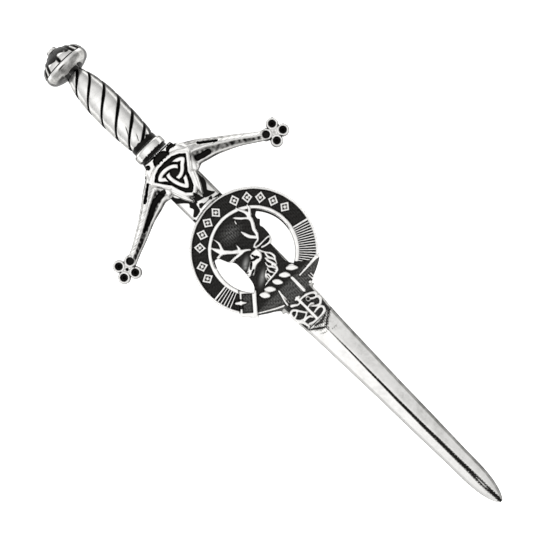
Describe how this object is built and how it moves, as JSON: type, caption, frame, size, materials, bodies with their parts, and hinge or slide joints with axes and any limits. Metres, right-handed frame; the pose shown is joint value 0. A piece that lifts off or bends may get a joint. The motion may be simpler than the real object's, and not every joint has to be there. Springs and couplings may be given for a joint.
{
  "type": "kilt pin",
  "caption": "Sword-shaped kilt pin: lobed pommel, twisted grip, drooping guard, fullered blade, round belt badge with a stag's head, and a plain stem with a catch behind.",
  "frame": {"origin": "middle of the bounding box seen from the front, on the surface that the pin rests on", "axes": "+Y from the blade's point towards the pommel, +Z out of the face that shows, +X to the right of a viewer who looks at that face with the pommel upwards"},
  "size_m": [0.0393, 0.11, 0.0112],
  "materials": {
    "antiqued_pewter": "cast pewter, polished on its high places and black with patina in its hollows",
    "plated_steel": "plain bright plating"
  },
  "bodies": {
    "root": {"pommel": "antiqued_pewter", "grip": "antiqued_pewter", "collar": "antiqued_pewter", "guard": "antiqued_pewter", "blade": "antiqued_pewter", "crest_badge": "antiqued_pewter", "brooch_pin": "plated_steel"}
  },
  "joints": []
}
